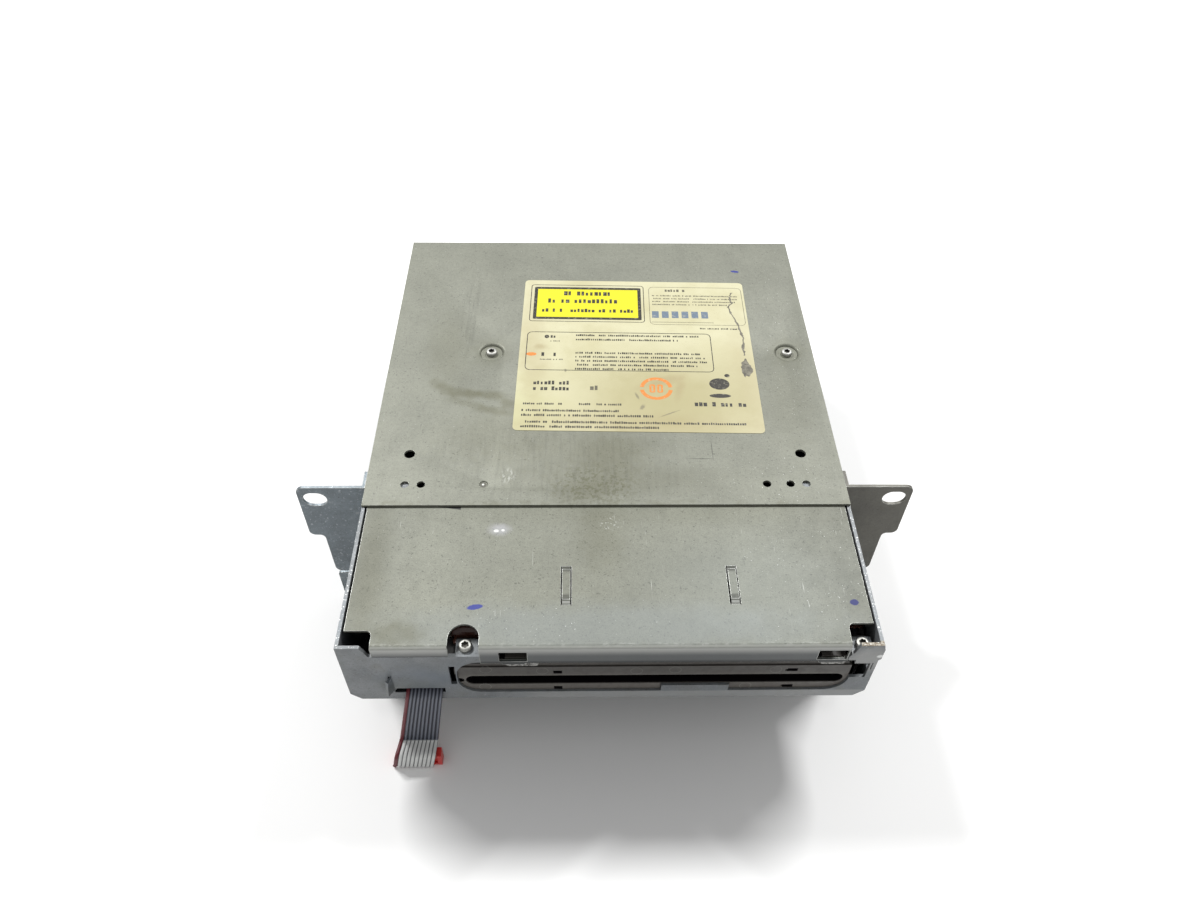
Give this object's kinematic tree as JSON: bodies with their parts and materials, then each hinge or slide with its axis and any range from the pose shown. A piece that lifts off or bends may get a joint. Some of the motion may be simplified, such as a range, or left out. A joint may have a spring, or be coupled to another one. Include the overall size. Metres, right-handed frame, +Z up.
{
  "type": "car navigation cd drive",
  "caption": "Slot-loading disc drive of a car navigation unit: galvanised metal case with side mounting brackets, a plastic slot frame and a short ribbon cable.",
  "frame": {"origin": "under the middle of the whole part without its ribbon, on the surface that it stands on", "axes": "+X to the right seen from the slot side, +Y to the back, +Z up"},
  "size_m": [0.232, 0.2375, 0.0727],
  "materials": {
    "galvanised_sheet": "matt zinc with fine mottling",
    "cover_sheet": "matt zinc with fine mottling and a few stains",
    "right_bracket_sheet": "darker brown-grey zinc",
    "label_paper": "coated paper",
    "zinc_screws": "bright zinc plated",
    "frame_plastic": "satin, fine grained",
    "wiper_felt": "short black pile",
    "drive_sheet": "plain zinc plated",
    "guide_plastic": "satin",
    "ground_steel": "ground and polished",
    "black_rubber": "matt",
    "gear_plastic": "natural, slightly waxy",
    "worm_brass": "turned",
    "motor_can": "drawn steel",
    "slider_plastic": "satin black",
    "hub_plastic": "satin black",
    "sled_casting": "die cast",
    "lens_glass": "coated, clear",
    "spring_wire": "drawn wire",
    "ribbon_vinyl": "grey with a red edge wire",
    "connector_red": "moulded red",
    "header_plastic": "moulded off-white",
    "circuit_board": "green solder resist",
    "chip_black": "moulded epoxy",
    "capacitor_sleeve": "shrink sleeve",
    "tinned_steel": "tin plated",
    "plug_plastic": "ivory, moulded",
    "tinned_pins": "tin plated",
    "socket_metal": "nickel plated",
    "sink_aluminium": "extruded",
    "fan_plastic": "moulded black",
    "left_bracket_sheet": "bluish zinc with light scuffs"
  },
  "bodies": {
    "body": {"chassis_shell": "galvanised_sheet", "base_tray": "galvanised_sheet", "drive_shelf": "galvanised_sheet", "front_top_cover": "cover_sheet", "rear_top_cover": "cover_sheet", "rear_panel": "galvanised_sheet", "right_bracket": "right_bracket_sheet", "rating_label": "label_paper", "cover_screws": "zinc_screws", "front_screws": "zinc_screws", "side_screws": "zinc_screws", "bracket_screws": "zinc_screws", "panel_screws": "zinc_screws", "slot_bezel": "frame_plastic", "slot_felts": "wiper_felt", "drive_cage": "drive_sheet", "disc_guide": "guide_plastic", "roller_arm_rod": "ground_steel", "loading_motor": "motor_can", "drive_deck": "drive_sheet", "deck_dampers": "black_rubber", "spindle_motor": "motor_can", "guide_rods": "ground_steel", "sled_motor": "motor_can", "clamp_spring": "spring_wire", "ribbon_cable": "ribbon_vinyl", "ribbon_connector": "connector_red", "ribbon_header": "header_plastic", "drive_board": "circuit_board", "main_board": "circuit_board", "board_posts": "worm_brass", "board_chips": "chip_black", "capacitors": "capacitor_sleeve", "tuner_can": "tinned_steel", "main_plug_housing": "plug_plastic", "main_plug_pins": "tinned_pins", "antenna_sockets": "socket_metal", "heat_sink": "sink_aluminium", "fan_frame": "fan_plastic", "fan_screws": "zinc_screws", "left_bracket": "left_bracket_sheet"},
    "cam_slider": {"cam_slider": "slider_plastic"},
    "roller_arm": {"roller_arm": "drive_sheet"},
    "roller": {"roller_shaft": "ground_steel", "feed_rubbers": "black_rubber", "roller_gear": "gear_plastic"},
    "idler": {"idler_gear": "gear_plastic"},
    "reduction": {"reduction_gear": "gear_plastic"},
    "worm": {"loading_worm": "worm_brass"},
    "clamp_arm": {"clamp_arm": "drive_sheet"},
    "clamp_puck": {"clamp_puck": "hub_plastic"},
    "turntable": {"turntable": "hub_plastic"},
    "pickup": {"pickup_sled": "sled_casting", "objective_lens": "lens_glass"},
    "lead_screw": {"lead_screw": "ground_steel"},
    "fan": {"fan_rotor": "fan_plastic"}
  },
  "joints": [
    {"name": "cam_slide", "type": "slide", "parent": "body", "child": "cam_slider", "axis": [0, 1, 0], "range_m": [0, 0.01]},
    {"name": "roller_arm_drop", "type": "hinge", "parent": "body", "child": "roller_arm", "pos_m": [0.0157, -0.08295, 0.0448], "axis": [1, 0, 0], "range_deg": [0, 12.01]},
    {"name": "roller_spin", "type": "hinge", "parent": "roller_arm", "child": "roller", "pos_m": [0.0157, -0.09595, 0.0448], "axis": [1, 0, 0], "continuous": true},
    {"name": "idler_spin", "type": "hinge", "parent": "body", "child": "idler", "pos_m": [-0.0558, -0.09595, 0.05272], "axis": [1, 0, 0], "continuous": true},
    {"name": "reduction_spin", "type": "hinge", "parent": "body", "child": "reduction", "pos_m": [-0.053, -0.08745, 0.05212], "axis": [1, 0, 0], "continuous": true},
    {"name": "worm_spin", "type": "hinge", "parent": "body", "child": "worm", "pos_m": [-0.0518, -0.08745, 0.0435], "axis": [0, 1, 0], "continuous": true},
    {"name": "clamp_arm_drop", "type": "hinge", "parent": "body", "child": "clamp_arm", "pos_m": [0.0157, 0.02705, 0.061], "axis": [1, 0, 0], "range_deg": [0, 4.61]},
    {"name": "clamp_puck_spin", "type": "hinge", "parent": "clamp_arm", "child": "clamp_puck", "pos_m": [0.0157, -0.04147, 0.05728], "axis": [0, 0.0802, 0.9968], "continuous": true},
    {"name": "turntable_spin", "type": "hinge", "parent": "body", "child": "turntable", "pos_m": [0.0157, -0.04095, 0.0456], "axis": [0, 0, 1], "continuous": true},
    {"name": "sled_slide", "type": "slide", "parent": "body", "child": "pickup", "axis": [0, 1, 0], "range_m": [0, 0.035]},
    {"name": "lead_screw_spin", "type": "hinge", "parent": "body", "child": "lead_screw", "pos_m": [0.0447, 0.01205, 0.042], "axis": [0, 1, 0], "range_deg": [-4220, 20]},
    {"name": "fan_spin", "type": "hinge", "parent": "body", "child": "fan", "pos_m": [0.054, 0.09625, 0.0435], "axis": [0, 1, 0], "continuous": true}
  ],
  "couplings": [
    {"joint": "roller_arm_drop", "follows": "cam_slide", "rad_per_m": 20.944},
    {"joint": "clamp_arm_drop", "follows": "cam_slide", "rad_per_m": 8.0285},
    {"joint": "reduction_spin", "follows": "worm_spin", "ratio": -0.041667},
    {"joint": "idler_spin", "follows": "worm_spin", "ratio": 0.03125},
    {"joint": "roller_spin", "follows": "worm_spin", "ratio": -0.05},
    {"joint": "lead_screw_spin", "follows": "sled_slide", "rad_per_m": -2094.4}
  ]
}
